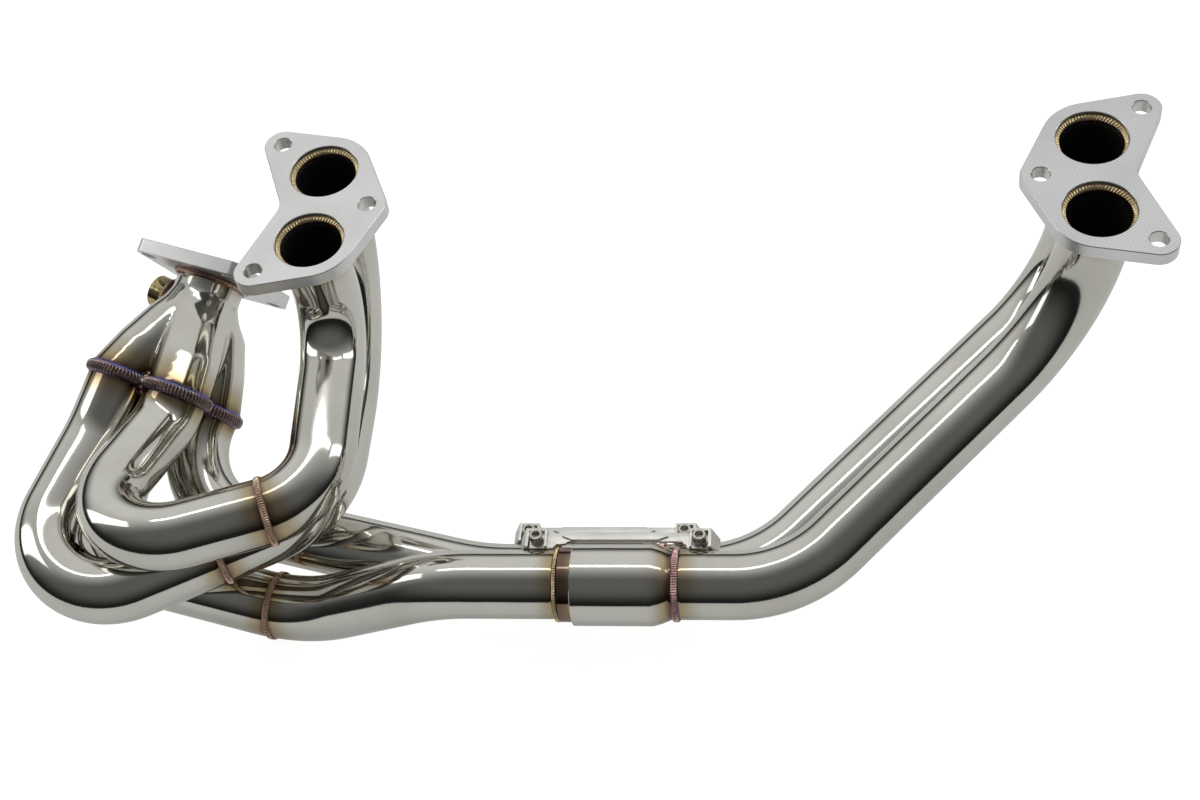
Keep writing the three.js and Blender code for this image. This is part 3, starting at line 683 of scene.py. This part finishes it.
mesh = bmesh.new()
profile = [(24.7, -3.4, -1), (25.5, -3.3, -0.8), (26.6, -2.4, -0.2), (27.6, -1.3, 0.4),
           (28.2, -0.35, 1), (24.7, -0.35, 1)]
turned(mesh, profile, on_collector(OUTLET_UNDERSIDE), NORMAL, BEAD_STEPS, BEAD_RIPPLES, 0.35)
new_piece("outlet_bead", mesh, "left_bank", ["outlet_weld"], [dark_bead])

radial = (INLET_X + INLET_Z) * -math.sqrt(0.5)
bung_axis = radial * math.cos(math.radians(7)) + FLOW * math.sin(math.radians(7))
bung_face = on_collector(69.5) + radial * 39
mesh = bmesh.new()
profile = [(7.6, 0, 0), (11.4, 0, 0), (12, -0.6, 0), (12, -15, 0), (7.2, -15, 0), (7.2, -0.4, 0)]
turned(mesh, profile, bung_face, bung_axis)
piece = new_piece("bung_body", mesh, "left_bank", ["sensor_bung"], [bung_steel])
sharp_edges(piece, 35)
mesh = bmesh.new()
profile = [(12.1, -15.5, 1), (12.1, -10.5, -1), (13.2, -11, -0.6), (14, -12.4, 0), (14, -15.5, 1)]
turned(mesh, profile, bung_face, bung_axis, 384, 48, 0.3)
new_piece("bung_bead", mesh, "left_bank", ["sensor_bung_weld"], [dark_bead])


# ---- tie brackets ----
# Over each slip joint a strap of pressed sheet spans two lugs, one on each side, held by socket
# screws. Its fork lets the right lug slide. All of it is satin steel, with rounded edges.

SCREW_REACH = 52.8
SCREW_BACK = 25.4


def satin_steel():
    material, tree, surface = metal("satin_steel")
    grain = object_noise(tree, 500, 3, (0.12, 1, 1))
    cloud = object_noise(tree, 45, 3)
    pale = blend_colour(cloud.between(0.3, 0.75), (0.80, 0.79, 0.75, 1), (0.70, 0.69, 0.65, 1))
    feed(surface, "Base Color", pale)
    feed(surface, "Roughness", grain * 0.16 + cloud * 0.08 + 0.26)
    feed(surface, "Normal", bump(tree, grain, 0.15, 0.0002))
    return material


def screw_metal():
    material, tree, surface = metal("screw_metal")
    grain = object_noise(tree, 600, 3)
    grey = blend_colour(grain.between(0.3, 0.8), (0.66, 0.64, 0.58, 1), (0.42, 0.40, 0.36, 1))
    feed(surface, "Base Color", grey)
    feed(surface, "Roughness", grain * 0.16 + 0.16)
    return material


satin = satin_steel()
screw_steel = screw_metal()


def softened(cad_name, width, body):
    """A copy of a CAD node with its edges rounded."""
    mesh = bmesh.new()
    mesh.from_mesh(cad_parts[cad_name].data)
    bmesh.ops.remove_doubles(mesh, verts=mesh.verts, dist=2e-5)
    bmesh.ops.dissolve_limit(mesh, angle_limit=0.01, verts=mesh.verts, edges=mesh.edges)
    bmesh.ops.scale(mesh, verts=mesh.verts, vec=(1 / MM, 1 / MM, 1 / MM))
    edges = [e for e in mesh.edges if len(e.link_faces) == 2 and e.calc_face_angle() > 0.5]
    bmesh.ops.bevel(
        mesh, geom=edges, offset=width, offset_type="OFFSET", segments=3, profile=0.5, affect="EDGES",
        material=-1, clamp_overlap=True)
    piece = new_piece(f"{cad_name}_sheet", mesh, body, [cad_name], [satin])
    return sharp_edges(piece, 32)


for joint, middle in (("front", FRONT_JOINT), ("rear", REAR_JOINT)):
    softened(f"{joint}_tie_strap", 0.5, "left_bank")
    for side, sign in (("left", -1), ("right", 1)):
        softened(f"{joint}_{side}_lug", 0.7, f"{side}_bank")
        mesh = bmesh.new()
        shank = [(0, 4.6, 0), (2.4, 4.6, 0), (2.4, 13.3, 0)]
        top = [(4.0, 13.3, 0), (4.3, 13.6, 0), (4.3, 20.0, 0), (3.9, 20.5, 0), (2.7, 20.5, 0)]
        socket = [(2.5, 20.2, 0), (2.5, 17, 0), (0, 17, 0)]
        place = middle + Vector((sign * SCREW_REACH, SCREW_BACK, 0))
        turned(mesh, shank + top + socket, place, Vector((0, 0, 1)), 48)
        name = f"{joint}_{side}_screw"
        piece = new_piece(f"{name}_turned", mesh, f"{side}_bank", [name], [screw_steel])
        sharp_edges(piece, 35)


# ---- camera ----
# The view looks down at the parts from in front, a little to the left.

camera_data = bpy.data.cameras.new("camera")
camera_data.lens = 57.15
camera_data.sensor_width = 36
camera_data.clip_start = 0.01
camera = bpy.data.objects.new("camera", camera_data)
camera_axes = Matrix(((0.9906, 0.0739, -0.1153), (0.0099, 0.8013, 0.5983), (0.1366, -0.5938, 0.7930)))
camera.matrix_world = Matrix.Translation((0.3546, -0.8332, 0.8954)) @ camera_axes.transposed().to_4x4()
bpy.context.scene.collection.objects.link(camera)
bpy.context.scene.camera = camera


# ---- floor and light ----
# A plain white floor, a soft strip above, two side panels and a room that is dark in front.
# The floor glows less into the steel than to the eye, so that the tubes stay dark underneath.

low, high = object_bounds()
mesh = bmesh.new()
bmesh.ops.create_grid(mesh, x_segments=1, y_segments=1, size=1.7)
bmesh.ops.translate(mesh, verts=mesh.verts, vec=(0.2, 0.1, low[2] - 0.0005))
floor_data = bpy.data.meshes.new("floor")
mesh.to_mesh(floor_data)
mesh.free()
floor = bpy.data.objects.new("floor", floor_data)
bpy.context.scene.collection.objects.link(floor)
floor_material = bpy.data.materials.new("floor_paper")
floor_material.use_nodes = True
tree = floor_material.node_tree
bright_paper = tree.nodes["Principled BSDF"]
dim_paper = tree.nodes.new("ShaderNodeBsdfPrincipled")
for paper, glow in ((bright_paper, 0.92), (dim_paper, 0.30)):
    paper.inputs["Base Color"].default_value = (0.6, 0.6, 0.6, 1)
    paper.inputs["Roughness"].default_value = 0.9
    paper.inputs["Emission Color"].default_value = (1, 1, 1, 1)
    paper.inputs["Emission Strength"].default_value = glow
seen = node(tree, "ShaderNodeLightPath", {}, {})
layers = {0: seen, 1: Socket(tree, dim_paper.outputs[0]), 2: Socket(tree, bright_paper.outputs[0])}
paper = node(tree, "ShaderNodeMixShader", {}, layers)
tree.links.new(paper.output, tree.nodes["Material Output"].inputs["Surface"])
floor_data.materials.append(floor_material)


def softbox(name, place, target, width, depth, power):
    data = bpy.data.lights.new(name, "AREA")
    data.shape = "RECTANGLE"
    data.size = width
    data.size_y = depth
    data.energy = power
    light = bpy.data.objects.new(name, data)
    light.location = place
    light.rotation_euler = (Vector(target) - Vector(place)).to_track_quat("-Z", "Y").to_euler()
    bpy.context.scene.collection.objects.link(light)


softbox("top_strip", (0.2, 0.45, 1.5), (0.2, -0.1, -0.1), 2.2, 0.16, 3.2)
softbox("left_panel", (-1.7, 0.1, 0.8), (0, 0, 0), 0.5, 1.5, 4)
softbox("right_panel", (2.0, 0.5, 0.9), (0.3, 0, 0), 0.35, 1.4, 3)

world = bpy.data.worlds.new("studio")
world.use_nodes = True
bpy.context.scene.world = world
tree = world.node_tree
tree.nodes["Background"].inputs["Color"].default_value = (1, 1, 1, 1)
way = node(tree, "ShaderNodeTexCoord", {}, {}, 0)
up = node(tree, "ShaderNodeSeparateXYZ", {}, {"Vector": way}, 2)
back = node(tree, "ShaderNodeSeparateXYZ", {}, {"Vector": way}, 1)
behind = back.between(-0.35, 0.65) * up.between(0.0, 0.4)
ahead = (up.between(0.0, 0.8) * 0.12 + 0.012) * (1 - behind)
tree.links.new((behind * 0.74 + ahead).output, tree.nodes["Background"].inputs["Strength"])
bpy.context.scene.view_settings.view_transform = "Standard"
